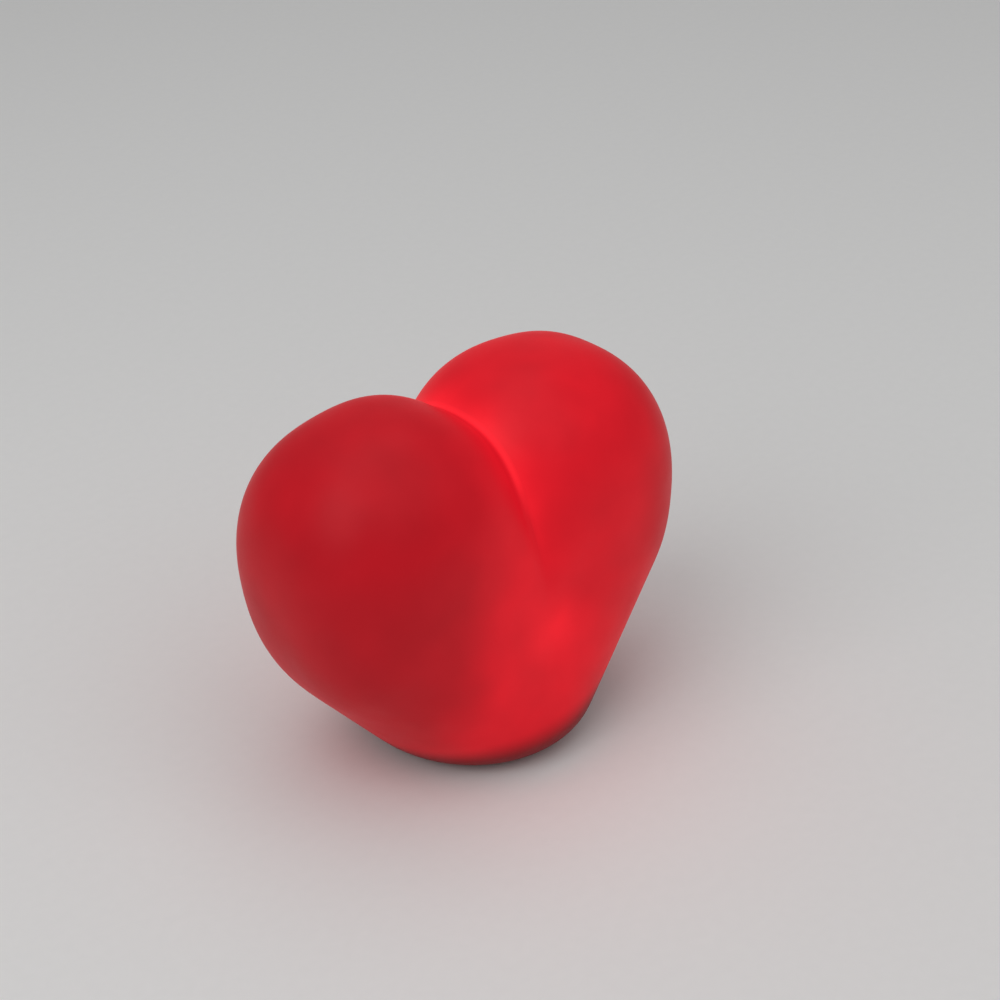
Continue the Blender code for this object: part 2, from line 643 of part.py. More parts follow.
# ---------------------------------------------------------------- moving pieces

def make_switch_knob(mat):
    """The slider, at its ON end; it travels towards -X to switch off."""
    bm = bmesh.new()
    x0, x1 = KNOB_REST_X - KNOB_HALF_LENGTH, KNOB_REST_X + KNOB_HALF_LENGTH
    add_box(bm, (x0, SWITCH_Y - KNOB_HALF_WIDTH, KNOB_BOTTOM), (x1, SWITCH_Y + KNOB_HALF_WIDTH, KNOB_TOP))
    bmesh.ops.bevel(bm, geom=bm.edges[:], offset=0.2 * MM, segments=1, affect='EDGES')
    solid("switch_knob", bm, mat, (KNOB_REST_X, SWITCH_Y, PLATE_BOTTOM))


def make_battery_door(mat):
    """The door lies in its seat; its two hooks reach over the plate and turn about the seat's edge."""
    top = PLATE_BOTTOM + DOOR_THICKNESS
    left = HINGE_X + GAP
    axis = (HINGE_X, 0.0, PLATE_BOTTOM)
    bm = bmesh.new()
    add_box(bm, (left, -DOOR_HALF_WIDTH, PLATE_BOTTOM), (DOOR_RIGHT, DOOR_HALF_WIDTH, top))
    door = solid("battery_door", bm, mat, axis)

    extras = bmesh.new()
    add_prism(extras, slot_outline(DOOR_RIGHT - 2 * MM, TONGUE_END, TONGUE_HALF_WIDTH, PLATE_BOTTOM),
              (0.0, 0.0, DOOR_THICKNESS))
    hook_low, hook_high = PLATE_TOP + GAP, PLATE_TOP + GAP + HOOK_THICKNESS
    riser, tip = left + HOOK_RISER, HINGE_X - HOOK_REACH
    for side in (-1, 1):
        y0 = side * HOOK_CENTRE_Y - HOOK_HALF_WIDTH
        outline = [(left, top - 0.5 * MM), (riser, top - 0.5 * MM), (riser, hook_high),
                   (tip, hook_high), (tip, hook_low), (left, hook_low)]
        add_prism(extras, [(x, y0, z) for x, z in outline], (0.0, 2 * HOOK_HALF_WIDTH, 0.0))
    boolean(door, 'UNION', guide("guide_door_extras", extras))

    bore = bmesh.new()
    seat = PLATE_BOTTOM + DOOR_SCREW_SEAT
    add_turned(bore, [(0.0, -MM), (SCREW_HEAD + GAP, -MM), (SCREW_HEAD + GAP, seat),
                      (SCREW_SHANK + GAP, seat), (SCREW_SHANK + GAP, 2 * top), (0.0, 2 * top)],
               DOOR_SCREW_X, 0.0, SMALL_STEPS)
    boolean(door, 'DIFFERENCE', guide("guide_door_screw_hole", bore))
    return door


def make_door_screw(door, mat):
    """The captive screw, which backs out of the plate along -Z and swings with the door."""
    head_bottom = PLATE_BOTTOM + DOOR_SCREW_SEAT - GAP - HEAD_HEIGHT
    screw, cross = make_screw("door_screw", DOOR_SCREW_X, 0.0, SCREW_HEAD, SCREW_SHANK, head_bottom,
                              DOOR_SCREW_LENGTH, mat)
    for piece in (screw, cross):
        place = piece.location.copy()
        piece.parent = door
        piece.location = place - door.location


# ---------------------------------------------------------------- assembly

def build():
    clear_scene()
    white = material("white_plastic", (0.80, 0.79, 0.76), 0.45)
    black = material("black_plastic", (0.03, 0.03, 0.03), 0.5)
    steel = material("screw_steel", (0.62, 0.62, 0.64), 0.3, 1.0)
    nickel = material("contact_nickel", (0.70, 0.68, 0.62), 0.25, 1.0)
    make_heart_shell(material("red_vinyl", (0.60, 0.01, 0.02), 0.4, glow=0.6))
    make_base_plate(white)
    make_puck_housing(white)
    make_base_screws(steel)
    make_battery_holder(white)
    make_button_cells(material("cell_steel", (0.66, 0.66, 0.68), 0.2, 1.0))
    make_contacts(nickel)
    make_negative_spring(nickel)
    make_circuit_board(material("board_laminate", (0.02, 0.22, 0.08), 0.5))
    make_board_screws(steel)
    make_controller_chip(black)
    make_resistor(black)
    make_led(material("led_epoxy", (0.9, 0.1, 0.1), 0.1, glow=4.0), nickel)
    make_switch_wires(material("red_insulation", (0.6, 0.02, 0.02), 0.5), black)
    make_switch_body(black)
    make_switch_knob(black)
    door = make_battery_door(white)
    make_door_screw(door, steel)


build()
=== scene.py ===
"""Looks of the heart-shaped mood light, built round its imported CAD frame.

It makes the heart's fine surface, threaded screws and the small moulded marks, gives every piece a
procedural material, and sets the floor, the lights and the camera. Metres, +Z up, front face at -Y.
"""

import math

import bmesh
import bpy
from mathutils import Matrix, Vector
from mathutils.bvhtree import BVHTree


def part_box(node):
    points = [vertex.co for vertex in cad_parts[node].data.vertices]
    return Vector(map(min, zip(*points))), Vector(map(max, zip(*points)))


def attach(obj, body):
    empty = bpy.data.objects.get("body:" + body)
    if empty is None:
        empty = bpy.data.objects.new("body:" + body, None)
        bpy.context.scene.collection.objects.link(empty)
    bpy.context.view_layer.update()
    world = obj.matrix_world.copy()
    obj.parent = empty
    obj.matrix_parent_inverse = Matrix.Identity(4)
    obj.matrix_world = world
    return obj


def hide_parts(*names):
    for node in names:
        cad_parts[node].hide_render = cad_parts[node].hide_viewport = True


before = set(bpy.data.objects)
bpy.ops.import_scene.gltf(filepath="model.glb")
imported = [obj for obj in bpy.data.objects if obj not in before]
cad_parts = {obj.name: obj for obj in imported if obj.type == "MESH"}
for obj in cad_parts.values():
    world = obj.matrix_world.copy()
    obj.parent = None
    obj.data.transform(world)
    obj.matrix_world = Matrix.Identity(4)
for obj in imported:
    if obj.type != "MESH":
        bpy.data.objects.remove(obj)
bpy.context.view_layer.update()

MM = 0.001

# Heart: the same lobes as the CAD solid, drawn on a finer grid.
HEART_HEIGHT = 90.0 * MM
CROWN_CENTRE_X = 22.6 * MM
CROWN_RADII = (31.7 * MM, 29.6 * MM, 36.8 * MM)
CROWN_TILT = math.radians(6.7)
CROWN_POWER = 2.3
CROWN_PLAN_POWER = 2.5
BELLY_HEIGHT = 43.2 * MM
BELLY_RADII = (16.2 * MM, 29.7 * MM, 20.6 * MM)
FOOT_RADIUS_X = 29.8 * MM
FOOT_RADIUS_Y = 31.7 * MM
FOOT_ROUNDING = 11.2 * MM
FOOT_LIFT = 0.4 * MM
CLEFT_FAN = math.radians(1.5)
CLEFT_WEIGHTS = (1, 4, 6, 4, 1)
HEART_MIDDLE = 36.0 * MM
HEART_GRID = 44
SHELL_WALL = 2.0 * MM
HOUSING_RADIUS = 18.0 * MM          # of the base unit where the vinyl's lip grips it
MOUTH_ROUNDING = 0.25 * MM          # how much the mouth widens towards the surface it stands on
GAP = 0.3 * MM

# Screws, as shares of the head's or the shank's radius, and the pitch of their thread.
THREAD_PITCH = 0.62 * MM
THREAD_ROOT = 0.76
HEAD_HEIGHT = 0.7 * MM
HEAD_EDGE = 0.28 * MM
SHANK_SHARE = 0.47
POINT_LENGTH = 1.2
POINT_SHARE = 0.45
RECESS_REACH = 0.62
RECESS_DEPTH = 0.42 * MM

# Moulded marks: how far they stand out of a face and how far they run into it.
MARK_SUNK = 0.1 * MM
SIGN_PROUD = 0.18 * MM
SIGN_X = 4.3 * MM
SIGN_LENGTH = 1.6 * MM
SIGN_WIDTH = 0.4 * MM
PAD_ANGLES = (15, 165, 205, 240, 300, 335)
PAD_RADIUS = 0.9 * MM
PAD_PROUD = 0.04 * MM
RIB_COUNT = 4
RIB_FIRST = 6.6 * MM
RIB_PITCH = 1.25 * MM
RIB_WIDTH = 0.55 * MM
RIB_HALF_LENGTH = 3.6 * MM
RIB_PROUD = 0.3 * MM
DIAGRAM_LEFT = -8.4 * MM
DIAGRAM_CELL = 4.0 * MM
DIAGRAM_CELLS = 3
DIAGRAM_HALF_WIDTH = 2.2 * MM
DIAGRAM_LINE = 0.26 * MM
DIAGRAM_PROUD = 0.20 * MM

# Camera: the direction that it looks from, its roll, and the point of the object that it looks at.
CAMERA_AZIMUTH = math.radians(-40.24)
CAMERA_ELEVATION = math.radians(30.18)
CAMERA_ROLL = math.radians(-2.69)
CAMERA_DISTANCE = 0.555
CAMERA_LENS = 82.0
CAMERA_AIM_RIGHT = 6.9 * MM
CAMERA_AIM_UP = 50.9 * MM


# ---------------------------------------------------------------- materials

class Recipe:
    """One material. Its short calls add a node, join its inputs and return its output."""

    def __init__(self, name):
        self.material = bpy.data.materials.new(name)
        self.material.use_nodes = True
        self.tree = self.material.node_tree
        self.shader = self.tree.nodes["Principled BSDF"]
        coordinates = self.node("ShaderNodeTexCoord")
        self.place = coordinates.outputs["Object"]
        self.normal = coordinates.outputs["Normal"]
        split = self.node("ShaderNodeSeparateXYZ")
        self.feed(split.inputs[0], self.place)
        self.x, self.y, self.z = split.outputs

    def node(self, kind, **settings):
        node = self.tree.nodes.new(kind)
        for key, value in settings.items():
            setattr(node, key, value)
        return node

    def feed(self, socket, value):
        if isinstance(value, bpy.types.NodeSocket):
            self.tree.links.new(value, socket)
        else:
            socket.default_value = value

    def math(self, operation, *values):
        node = self.node("ShaderNodeMath", operation=operation)
        for socket, value in zip(node.inputs, values):
            self.feed(socket, value)
        return node.outputs[0]

    def fade(self, value, low, high, at_low=0.0, at_high=1.0):
        """A smooth step from one value to another as the input goes from low to high."""
        node = self.node("ShaderNodeMapRange", interpolation_type='SMOOTHSTEP')
        for socket, number in zip(node.inputs, (value, low, high, at_low, at_high)):
            self.feed(socket, number)
        return node.outputs[0]

    def hill(self, squares, width):
        """A bell curve of the given width over a sum of squares."""
        return self.math('EXPONENT', self.math('DIVIDE', squares, -width * width))

    def square(self, value, centre=0.0):
        return self.math('POWER', self.math('SUBTRACT', value, centre), 2.0)

    def noise(self, size, detail=2.0, stretch=(1.0, 1.0, 1.0), shift=0.0):
        """Noise from 0 to 1 with blobs of about the given size in metres."""
        mapping = self.node("ShaderNodeMapping")
        self.feed(mapping.inputs["Vector"], self.place)
        mapping.inputs["Location"].default_value = (shift, shift, shift)
        mapping.inputs["Scale"].default_value = [share / size for share in stretch]
        node = self.node("ShaderNodeTexNoise")
        self.feed(node.inputs["Vector"], mapping.outputs[0])
        node.inputs["Scale"].default_value = 1.0
        node.inputs["Detail"].default_value = detail
        return node.outputs["Fac"]

    def vary(self, texture, middle, swing):
        """A 0-to-1 texture turned into values about a middle."""
        return self.math('MULTIPLY_ADD', texture, 2.0 * swing, middle - swing)

    def mix(self, share, first, second):
        """One colour turning into another; each is three numbers or a colour output."""
        node = self.node("ShaderNodeMix", data_type='RGBA')
        self.feed(node.inputs["Factor"], share)
        for socket, colour in zip(node.inputs[6:8], (first, second)):
            self.feed(socket, colour if isinstance(colour, bpy.types.NodeSocket) else (*colour, 1.0))
        return node.outputs[2]

    def tint(self, colour, amount):
        """A colour made brighter or darker by a number output."""
        node = self.node("ShaderNodeVectorMath", operation='SCALE')
        self.feed(node.inputs[0], colour)
        self.feed(node.inputs["Scale"], amount)
        return node.outputs[0]

    def bumps(self, *layers):
        """Layers of (height texture, depth in metres), from coarse to fine."""
        normal = None
        for height, depth in layers:
            node = self.node("ShaderNodeBump")
            node.inputs["Distance"].default_value = depth
            self.feed(node.inputs["Height"], height)
            if normal:
                self.feed(node.inputs["Normal"], normal)
            normal = node.outputs[0]
        self.feed(self.shader.inputs["Normal"], normal)

    def finish(self, colour, roughness, **plain):
        """Joins up the colour and the roughness, and sets the shader's plain values."""
        self.feed(self.shader.inputs["Base Color"], colour)
        self.feed(self.shader.inputs["Roughness"], roughness)
        for name, value in plain.items():
            self.shader.inputs[name.replace("_", " ")].default_value = value
        return self.material


def glowing_vinyl():
    """Soft red vinyl lit from inside: brightest low on the faces beside the LED and in the cleft,
    where the lobes' inner walls light each other. Painted shade makes it dimmer far out and on the
    left lobe, with a painted shadow edge leaning across that lobe, and dark at the lip round the base unit,
    below the LED."""
    r = Recipe("glowing_red_vinyl")
    facing = r.node("ShaderNodeSeparateXYZ")
    r.feed(facing.inputs[0], r.normal)
    side = r.math('SIGN', r.x)
    across = r.math('ABSOLUTE', r.x)

    def beside_led(x, z, width):
        return r.hill(r.math('ADD', r.square(r.x, x * MM), r.square(r.z, z * MM)), width * MM)

    # Of the left lobe's inner wall only the deepest part is lit, so its edge stays dark in front of the
    # right lobe's bright wall.
    inward = r.math('MULTIPLY_ADD', r.fade(r.x, 0.5 * MM, -0.5 * MM), 0.55,
                    r.math('MULTIPLY', facing.outputs[0], side))
    inner_wall = r.fade(inward, 0.15, -0.85)
    cleft_floor = r.math('MULTIPLY', r.hill(r.square(r.x, 0.8 * MM), 1.3 * MM),
                         r.fade(r.z, 60 * MM, 75 * MM))
    in_cleft = r.math('MULTIPLY', r.math('EXPONENT', r.math('DIVIDE', across, -3.6 * MM)),
                      r.math('MAXIMUM', inner_wall, cleft_floor))
    in_cleft = r.math('MULTIPLY', in_cleft, r.fade(r.z, 48 * MM, 72 * MM))
    glow = r.math('MULTIPLY_ADD', beside_led(-4.8, 34.8, 28.7), 0.225, 0.30)
    glow = r.math('MULTIPLY_ADD', beside_led(1.6, 35.5, 7.0), 0.15, glow)
    glow = r.math('MULTIPLY_ADD', in_cleft, 0.47, glow)
    glow = r.math('ADD', glow, r.fade(r.z, 40 * MM, 90 * MM, 0.0, 0.157))

    leaning_x = r.math('MULTIPLY_ADD', r.z, -0.214, r.x)
    # Painted shade in the glow: the left lobe dimmer with a painted shadow edge leaning across it,
    # the far right dimmer, the foot dark below the LED and more so on the right, and uneven wall thickness.
    shades = [r.fade(r.x, -39 * MM, -10 * MM, 0.865, 1.0),
              r.fade(leaning_x, -37 * MM, -19.5 * MM, 0.68, 1.0),
              r.fade(r.x, 30.6 * MM, 50.6 * MM, 1.0, 0.60),
              r.fade(r.math('MULTIPLY_ADD', r.x, -0.12, r.z), 6.6 * MM, 14.8 * MM),
              r.vary(r.noise(13 * MM, 1.5), 1.0, 0.22),
              r.vary(r.noise(5 * MM, 2.0, shift=3.0), 1.0, 0.04)]
    for shade in shades:
        glow = r.math('MULTIPLY', glow, shade)
    warm = r.mix(r.fade(glow, 0.3, 0.9), (1.0, 0.007, 0.020), (1.0, 0.012, 0.024))
    r.feed(r.shader.inputs["Emission Color"], r.tint(warm, glow))
    r.shader.inputs["Emission Strength"].default_value = 1.0

    colour = r.mix(r.noise(12 * MM, 2.0), (0.25, 0.003, 0.007), (0.30, 0.004, 0.010))
    satin = r.math('ADD', r.vary(r.noise(9 * MM, 3.0, shift=7.0), 0.46, 0.06),
                   r.vary(r.noise(0.7 * MM, 2.0), 0.0, 0.03))
    r.bumps((r.noise(14 * MM, 1.0, shift=5.0), 0.25 * MM), (r.noise(0.45 * MM, 3.0), 0.012 * MM))
    return r.finish(colour, satin, Specular_IOR_Level=0.18)


def moulded_plastic(name, light, dark, roughness, grain=0.25 * MM):
    """Injection-moulded plastic with a spark-eroded grain, faint flow clouds and a little grime."""
    r = Recipe(name)
    clouds = r.noise(8 * MM, 3.0)
    speckle = r.noise(0.6 * MM, 2.0, shift=2.0)
    colour = r.mix(r.math('MULTIPLY_ADD', clouds, 0.8, r.vary(speckle, 0.0, 0.15)), dark, light)
    rough = r.math('ADD', r.vary(clouds, roughness, 0.06), r.vary(speckle, 0.0, 0.05))
    r.bumps((clouds, 0.03 * MM), (r.noise(grain, 3.0, shift=4.0), 0.010 * MM))
    return r.finish(colour, rough)


def plated_metal(name, light, dark, roughness, stretch=(1.0, 1.0, 1.0)):
    """Plated steel with handling marks; the stretch draws the marks out along the rolling direction."""
    r = Recipe(name)
    stains = r.noise(1.8 * MM, 4.0)
    marks = r.noise(0.25 * MM, 3.0, stretch=stretch, shift=6.0)
    colour = r.mix(stains, dark, light)
    rough = r.math('ADD', r.vary(stains, roughness, 0.08), r.vary(marks, 0.0, 0.07))
    r.bumps((marks, 0.006 * MM))
    return r.finish(colour, rough, Metallic=1.0)


def cell_can():
    """A nickelled button-cell can with stains and fine marks drawn out along the cells' row."""
    r = Recipe("cell_can")
    stains = r.noise(2.5 * MM, 3.0)
    brushed = r.noise(0.2 * MM, 2.0, stretch=(0.1, 1.0, 1.0))
    colour = r.mix(stains, (0.52, 0.51, 0.50), (0.66, 0.65, 0.63))
    rough = r.math('ADD', r.vary(stains, 0.24, 0.06), r.vary(brushed, 0.0, 0.05))
    r.bumps((brushed, 0.005 * MM))
    return r.finish(colour, rough, Metallic=1.0)


def board_laminate():
    """Green solder mask with copper traces showing through it and bare laminate at the edge."""
    r = Recipe("board_laminate")
    low, high = (corner.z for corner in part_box("circuit_board"))
    weave = r.noise(0.35 * MM, 2.0)
    lanes = r.math('SINE', r.math('MULTIPLY', r.x, 2 * math.pi / (2.4 * MM)))
    bends = r.math('SINE', r.math('MULTIPLY', r.y, 2 * math.pi / (7.0 * MM)))
    traces = r.fade(r.math('ADD', lanes, r.math('MULTIPLY', bends, 0.8)), 0.62, 0.72)
    mask = r.mix(traces, (0.012, 0.13, 0.045), (0.03, 0.24, 0.08))
    edge = r.math('LESS_THAN', r.math('ABSOLUTE', r.math('SUBTRACT', r.z, (low + high) / 2)),
                  0.45 * (high - low))
    glass = r.mix(weave, (0.36, 0.33, 0.17), (0.48, 0.44, 0.25))
    colour = r.mix(edge, mask, glass)
    rough = r.math('MULTIPLY_ADD', edge, 0.35, r.vary(weave, 0.32, 0.06))
    r.bumps((traces, 0.035 * MM), (weave, 0.008 * MM))
    return r.finish(colour, rough)


def chip_resin():
    r = Recipe("chip_resin")
    waves = r.noise(1.2 * MM, 2.0)
    r.bumps((waves, 0.05 * MM))
    return r.finish(r.mix(waves, (0.008, 0.008, 0.009), (0.02, 0.02, 0.022)), r.vary(waves, 0.22, 0.08))


def resistor_ceramic():
    """Black glaze on a pale ceramic chip with tinned ends."""
    r = Recipe("resistor_ceramic")
    low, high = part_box("resistor")
    end = 0.55 * MM
    middle, half = (low.x + high.x) / 2, (high.x - low.x) / 2
    tinned = r.math('GREATER_THAN', r.math('ABSOLUTE', r.math('SUBTRACT', r.x, middle)), half - end)
    glazed = r.math('GREATER_THAN', r.z, high.z - 0.12 * MM)
    grain = r.noise(0.3 * MM, 2.0)
    body = r.mix(glazed, (0.62, 0.60, 0.55), (0.015, 0.015, 0.017))
    r.bumps((grain, 0.01 * MM))
    r.feed(r.shader.inputs["Metallic"], tinned)
    return r.finish(r.mix(tinned, body, (0.70, 0.70, 0.69)), r.vary(grain, 0.4, 0.08))


def led_epoxy():
    """Tinted clear epoxy, brightest at the die in its middle."""
    r = Recipe("led_epoxy")
    low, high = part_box("led_lens")
    height = r.fade(r.z, low.z, high.z)
    swirl = r.noise(1.0 * MM, 2.0)
    hot = r.math('MULTIPLY', r.fade(height, 0.1, 0.55, 0.35, 1.0), r.vary(swirl, 1.0, 0.08))
    tinted = r.mix(height, (1.0, 0.03, 0.03), (1.0, 0.10, 0.08))
    r.feed(r.shader.inputs["Emission Color"], r.tint(tinted, hot))
    r.shader.inputs["Emission Strength"].default_value = 3.0
    r.bumps((swirl, 0.01 * MM))
    return r.finish(r.mix(swirl, (0.55, 0.02, 0.02), (0.70, 0.04, 0.04)), r.vary(swirl, 0.08, 0.03))


def wire_insulation(name, light, dark):
    r = Recipe(name)
    skin = r.noise(0.8 * MM, 3.0)
    r.bumps((skin, 0.02 * MM))
    return r.finish(r.mix(skin, dark, light), r.vary(skin, 0.42, 0.08))


def solder():
    r = Recipe("solder")
    frost = r.noise(0.3 * MM, 3.0)
    r.bumps((frost, 0.01 * MM))
    return r.finish(r.mix(frost, (0.50, 0.50, 0.50), (0.68, 0.68, 0.67)), r.vary(frost, 0.28, 0.10),
                    Metallic=1.0)


def floor_paper():
    r = Recipe("floor_paper")
    fibres = r.noise(3 * MM, 3.0)
    r.bumps((fibres, 0.02 * MM))
    return r.finish(r.mix(fibres, (0.85, 0.85, 0.845), (0.88, 0.88, 0.875)), r.vary(fibres, 0.85, 0.04))


# ---------------------------------------------------------------- mesh helpers

def link(name, mesh, mat=None):
    obj = bpy.data.objects.new(name, mesh)
    if mat:
        mesh.materials.append(mat)
    bpy.context.scene.collection.objects.link(obj)
    return obj


def solid(name, bm, mat=None, sharp=35.0):
    """An object from a bmesh drawn in the row frame."""
    bmesh.ops.recalc_face_normals(bm, faces=bm.faces)
    mesh = bpy.data.meshes.new(name)
    bm.to_mesh(mesh)
    bm.free()
    mesh.shade_smooth()
    mesh.set_sharp_from_angle(angle=math.radians(sharp))
    return link(name, mesh, mat)


def piece(name, bm, mat, body, slot, *stands_for):
    """A visible piece that rides on a body. The slot argument is not used."""
    return settle(solid(name, bm, mat), body, slot, *stands_for)


def settle(obj, body, slot, *stands_for):
    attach(obj, body)
    if stands_for:
        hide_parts(*stands_for)
    return obj


def ring_verts(bm, x, y, ring):
    """Vertices evenly round a vertical line from (radius, height) pairs; one pair is a point on it."""
    angles = [2 * math.pi * i / len(ring) for i in range(len(ring))]
    return [bm.verts.new((x + radius * math.cos(a), y + radius * math.sin(a), height))
            for a, (radius, height) in zip(angles, ring)]


def join_rings(bm, rings):
    """Faces between each ring of vertices and the next; a ring of one vertex closes to a point."""
    for first, second in zip(rings, rings[1:]):
        steps = max(len(first), len(second))
        for i in range(steps):
            j = (i + 1) % steps
            corners = [first[i % len(first)], first[j % len(first)],
                       second[j % len(second)], second[i % len(second)]]
            bm.faces.new(list(dict.fromkeys(corners)))


def add_turned(bm, profile, x=0.0, y=0.0, steps=96):
    """A turned solid about a vertical line from (radius, height) points that start and end on it."""
    rings = [ring_verts(bm, x, y, [(radius, height)] * (1 if radius == 0.0 else steps))
             for radius, height in profile]
    join_rings(bm, rings)


def cut(obj, *cutters, operation='DIFFERENCE'):
    """Applies exact Booleans and removes their cutters."""
    for cutter in cutters:
        modifier = obj.modifiers.new("cut", 'BOOLEAN')
        modifier.operation = operation
        modifier.solver = 'EXACT'
        modifier.object = cutter
    bpy.context.view_layer.update()
    shown = obj.evaluated_get(bpy.context.evaluated_depsgraph_get())
    mesh = bpy.data.meshes.new_from_object(shown)
    obj.modifiers.clear()
    obj.data = mesh
    for cutter in cutters:
        bpy.data.objects.remove(cutter)


# ---------------------------------------------------------------- heart

def sphere_ways(rows, columns):
    for row in range(rows + 1):
        latitude = math.pi * row / rows - math.pi / 2
        for column in range(columns):
            longitude = 2 * math.pi * column / columns
            yield Vector((math.cos(latitude) * math.cos(longitude),
                          math.cos(latitude) * math.sin(longitude), math.sin(latitude)))


def crown_points(rows, columns):
    """Points on one tilted, slightly squared ellipsoid, with its top at the heart's full height."""
    tilt = Matrix.Rotation(CROWN_TILT, 3, 'Y')
    points = []
    for way in sphere_ways(rows, columns):
        plan = abs(way.x) ** CROWN_PLAN_POWER + abs(way.y) ** CROWN_PLAN_POWER
        length = plan ** (CROWN_POWER / CROWN_PLAN_POWER) + abs(way.z) ** CROWN_POWER
        points.append(tilt @ (way * length ** (-1 / CROWN_POWER) * Vector(CROWN_RADII)))
    lift = HEART_HEIGHT - max(point.z for point in points)
    return [point + Vector((CROWN_CENTRE_X, 0.0, lift)) for point in points]


def belly_points(rows, columns):
    """Points on the ellipsoid that fills the heart's faces out below the cleft."""
    middle = Vector((0.0, 0.0, BELLY_HEIGHT))
    return [middle + way * Vector(BELLY_RADII) for way in sphere_ways(rows, columns)]


def foot_points(rows, columns):
    """Points on the round-edged disc that both lobes run down into."""
    points = []
    for row in range(rows + 1):
        latitude = math.pi * row / rows - math.pi / 2
        reach = FOOT_ROUNDING * (math.cos(latitude) - 1.0)
        for column in range(columns):
            longitude = 2 * math.pi * column / columns
            points.append(Vector(((FOOT_RADIUS_X + reach) * math.cos(longitude),
                                  (FOOT_RADIUS_Y + reach) * math.sin(longitude),
                                  FOOT_LIFT + FOOT_ROUNDING * (1.0 + math.sin(latitude)))))
    return points


def lobe_tree():
    """A ray-casting tree of the right lobe: the convex hull of its crown, the belly and the foot."""
    bm = bmesh.new()
    for point in crown_points(120, 240) + belly_points(60, 120) + foot_points(28, 240):
        bm.verts.new(point)
    bmesh.ops.convex_hull(bm, input=bm.verts)
    tree = BVHTree.FromBMesh(bm)
    bm.free()
    return tree


def lobe_reach(tree, way, side):
    """Distance from the heart's middle to one lobe's surface, found by a ray from outside."""
    start = Vector((0.0, 0.0, HEART_MIDDLE))
    way = Vector((side * way.x, way.y, way.z))
    far = 2 * HEART_HEIGHT
    return (tree.ray_cast(start + way * far, -way)[0] - start).length


def heart_reach(tree, way):
    """The longer of the two lobes' reaches, averaged over a narrow fan of rays across the cleft."""
    total = 0.0
    for step, weight in enumerate(CLEFT_WEIGHTS):
        turn = (step - len(CLEFT_WEIGHTS) // 2) * CLEFT_FAN
        fanned = Vector((way.x + turn, way.y, way.z)).normalized()
        total += weight * max(lobe_reach(tree, fanned, 1), lobe_reach(tree, fanned, -1))
    return total / sum(CLEFT_WEIGHTS)


def heart_bmesh(tree):
    """A cube blown up to the heart's surface."""
    bm = bmesh.new()
    bmesh.ops.create_cube(bm, size=2.0)
    bmesh.ops.subdivide_edges(bm, edges=bm.edges, cuts=HEART_GRID - 1, use_grid_fill=True)
    for vert in bm.verts:
        cube = Vector(math.tan(part * math.pi / 4) for part in vert.co)
        way = cube.normalized()
        vert.co = Vector((0.0, 0.0, HEART_MIDDLE)) + way * heart_reach(tree, way)
    bm.normal_update()
    return bm


def refine(obj):
    """Applies one level of subdivision."""
    modifier = obj.modifiers.new("refine", 'SUBSURF')
    modifier.levels = modifier.render_levels = 1
    cut(obj)


def make_heart(mat):
    """The vinyl shell: outer skin, hollow above a lip, and a mouth that fits round the base unit."""
    plate_low, plate_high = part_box("base_plate")
    housing_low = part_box("puck_housing")[0]
    lip_bottom = housing_low.z
    lip_top = lip_bottom + SHELL_WALL
    step_radius = plate_high.x + GAP
    mouth_radius = HOUSING_RADIUS + GAP

    outer = heart_bmesh(lobe_tree())
    inner = outer.copy()
    for vert, normal in [(vert, vert.normal.copy()) for vert in inner.verts]:
        vert.co -= normal * SHELL_WALL
    heart = solid("heart_vinyl", outer, mat, sharp=60.0)
    refine(heart)
    hollow = solid("hollow", inner)
    above = bmesh.new()
    bmesh.ops.create_cube(above, size=2 * HEART_HEIGHT,
                          matrix=Matrix.Translation((0.0, 0.0, lip_top + HEART_HEIGHT)))
    cut(hollow, solid("above_lip", above), operation='INTERSECT')
    mouth = bmesh.new()
    below, inside = -10 * MM, 2 * lip_top
    widest = step_radius + MOUTH_ROUNDING
    add_turned(mouth, [(0.0, below), (widest, below), (widest, plate_low.z),
                       (step_radius, plate_low.z + 3 * MM), (step_radius, lip_bottom),
                       (mouth_radius, lip_bottom), (mouth_radius, inside), (0.0, inside)], steps=128)
    cut(heart, hollow, solid("mouth", mouth))
    heart.data.shade_smooth()
    heart.data.set_sharp_from_angle(angle=math.radians(60))
    settle(heart, "lamp", "red_vinyl", "heart_shell")


# ---------------------------------------------------------------- screws

def thread_radius(turn, height, minor, major):
    """Radius of a rolled thread at a share of a turn and a height: a blunt ridge that climbs."""
    part = (height / THREAD_PITCH - turn) % 1.0
    ridge = 1.0 - abs(2.0 * part - 1.0)
    return minor + (major - minor) * min(1.0, max(0.0, 1.5 * ridge - 0.25))


def screw_bmesh(x, y, low, high, head, head_top, shank):
    """A pan-head screw with its head down: a domed face, a rolled thread and a blunt cone point."""
    steps, rows_per_turn = 32, 8
    minor = THREAD_ROOT * shank
    dome = [(head - HEAD_EDGE + HEAD_EDGE * math.sin(a), low + HEAD_EDGE * (1.0 - math.cos(a)))
            for a in (math.pi / 2 * i / 4 for i in range(5))]
    profile = [(0.0, low), (0.55 * head, low)] + dome + [(head, head_top), (minor, head_top)]
    bm = bmesh.new()
    rings = []
    for radius, height in profile:
        rings.append([(radius, height)] * (1 if radius == 0.0 else steps))
    length = high - head_top
    count = int(length / THREAD_PITCH * rows_per_turn)
    for row in range(1, count + 1):
        height = head_top + length * row / count
        starting = min(1.0, 2.0 * (height - head_top) / THREAD_PITCH)
        ending = min(1.0, (high - height) / (POINT_LENGTH * shank))
        ring = []
        for i in range(steps):
            radius = thread_radius(i / steps, height, minor, shank)
            radius = (minor + (radius - minor) * starting) * (POINT_SHARE + (1.0 - POINT_SHARE) * ending)
            ring.append((radius, height))
        rings.append(ring)
    rings.append([(0.0, high)])
    join_rings(bm, [ring_verts(bm, x, y, ring) for ring in rings])
    return bm


